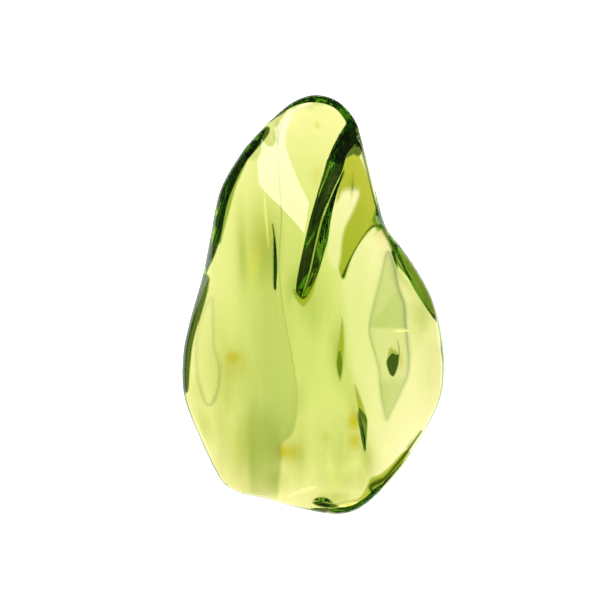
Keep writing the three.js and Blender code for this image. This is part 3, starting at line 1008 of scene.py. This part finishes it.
def amber_material():
    material, tree, shader = principled("green_amber")
    shader.inputs["Roughness"].default_value = 0.0
    shader.inputs["IOR"].default_value = REFRACTION
    shader.inputs["Transmission Weight"].default_value = 1.0
    tint = tree.nodes.new("ShaderNodeRGB")
    tint.outputs[0].default_value = (*AMBER_TINT, 1)
    colour = mixed(tree, tint.outputs[0], STREAK_TINT, streaks(tree), "MULTIPLY")
    # the painted reflection on the cheek, with the pale patch, then the painted highlights
    colour = mixed(tree, colour, REFLECTION_AND_PALE_TINT, masked(tree, "cheek_reflection_and_pale"))
    colour = mixed(tree, colour, GLINT_TINT, masked(tree, "painted_glint_lines"))
    for zone, multiplier in ZONE_TINTS.items():
        colour = mixed(tree, colour, multiplier, masked(tree, zone), "MULTIPLY")
    tree.links.new(colour, shader.inputs["Base Color"])
    volume = tree.nodes.new("ShaderNodeVolumeAbsorption")
    density = max(ABSORBED_PER_METRE)
    volume.inputs["Density"].default_value = density
    volume.inputs["Color"].default_value = (*[1 - a / density for a in ABSORBED_PER_METRE], 1)
    tree.links.new(volume.outputs[0], tree.nodes["Material Output"].inputs["Volume"])
    return material


def make_stone():
    stone = bpy.data.objects.new("polished_stone", stone_mesh())
    bpy.context.scene.collection.objects.link(stone)
    stone.data.materials.append(amber_material())
    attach(stone, "root")
    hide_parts("amber_stone")


# ---- the studio ----
FLOOR_SIZE = 0.8
FLOOR_GAP = 0.05 * MM  # below the stone, so that the floor and the stone's facet aren't one face
FLOOR_COLOUR = (0.9, 0.9, 0.9)
FLOOR_GLOW = 2.0
ROOM_ABOVE = (0.06, 0.08, 0.06)
ROOM_LOW = (0.12, 0.18, 0.12)
ROOM_TURN = 0.6  # how high up the room has its upper colour, where 0 is level and 1 straight up
BACKDROP = (1.0, 1.0, 1.0)


def make_floor():
    bpy.ops.mesh.primitive_plane_add(size=FLOOR_SIZE, location=(0, 0, -FLOOR_GAP))
    floor = bpy.context.object
    floor.name = "light_table"
    material, _, shader = principled("pale_floor")
    shader.inputs["Base Color"].default_value = (*FLOOR_COLOUR, 1)
    shader.inputs["Roughness"].default_value = 1.0
    shader.inputs["Specular IOR Level"].default_value = 0.0
    shader.inputs["Emission Color"].default_value = (1, 1, 1, 1)
    shader.inputs["Emission Strength"].default_value = FLOOR_GLOW
    floor.data.materials.append(material)


def make_world():
    """A dim green-grey room that darkens upwards. The camera itself sees a white backdrop."""
    world = bpy.data.worlds.new("studio")
    bpy.context.scene.world = world
    world.use_nodes = True
    tree = world.node_tree
    links, nodes = tree.links, tree.nodes
    place = nodes.new("ShaderNodeTexCoord")
    split = nodes.new("ShaderNodeSeparateXYZ")
    links.new(place.outputs["Generated"], split.inputs[0])
    ramp = nodes.new("ShaderNodeValToRGB")
    low, above = ramp.color_ramp.elements
    low.position = 0.0
    low.color = (*ROOM_LOW, 1)
    above.position = ROOM_TURN
    above.color = (*ROOM_ABOVE, 1)
    links.new(split.outputs["Z"], ramp.inputs[0])
    path = nodes.new("ShaderNodeLightPath")
    seen = mixed(tree, ramp.outputs["Color"], BACKDROP, path.outputs["Is Camera Ray"])
    links.new(seen, nodes["Background"].inputs["Color"])


# The one light: its place, its aim, its two sides, how far it is rolled about its aim in degrees, and how
# bright its face is. Its reflection is the pale patch on the upper left of the crown.
KEY_PLACE = (-0.101, 0.360, 0.417)
KEY_AIM = (0, 0, 0.01)
KEY_SIZE = (0.134, 0.336)
KEY_ROLL = 46.6
KEY_RADIANCE = 6.5


def make_light():
    light = bpy.data.lights.new("key", "AREA")
    light.shape = "RECTANGLE"
    light.size, light.size_y = KEY_SIZE
    light.energy = KEY_RADIANCE * math.pi * KEY_SIZE[0] * KEY_SIZE[1]
    lamp = bpy.data.objects.new("key", light)
    bpy.context.scene.collection.objects.link(lamp)
    lamp.location = KEY_PLACE
    aim = (Vector(KEY_AIM) - Vector(KEY_PLACE)).to_track_quat("-Z", "Y")
    lamp.rotation_euler = (aim @ Quaternion((0, 0, 1), math.radians(KEY_ROLL))).to_euler()


VIEW_LEVEL = 4 * MM  # the height in the stone that the picture is measured at
VIEW_WIDTH = 92.7 * MM  # what the picture spans there
VIEW_CENTRE = (-2.09 * MM, 0.70 * MM)


def make_camera():
    """A long lens, straight above the stone."""
    camera = bpy.data.cameras.new("camera")
    camera.lens = 100
    camera.sensor_width = 36
    body = bpy.data.objects.new("camera", camera)
    bpy.context.scene.collection.objects.link(body)
    distance = VIEW_WIDTH * camera.lens / camera.sensor_width
    body.location = (*VIEW_CENTRE, VIEW_LEVEL + distance)
    bpy.context.scene.camera = body


def set_render():
    scene = bpy.context.scene
    scene.view_settings.view_transform = "Standard"
    scene.cycles.max_bounces = 16
    scene.cycles.glossy_bounces = 12
    scene.cycles.transmission_bounces = 16


make_stone()
make_floor()
make_world()
make_light()
make_camera()
set_render()
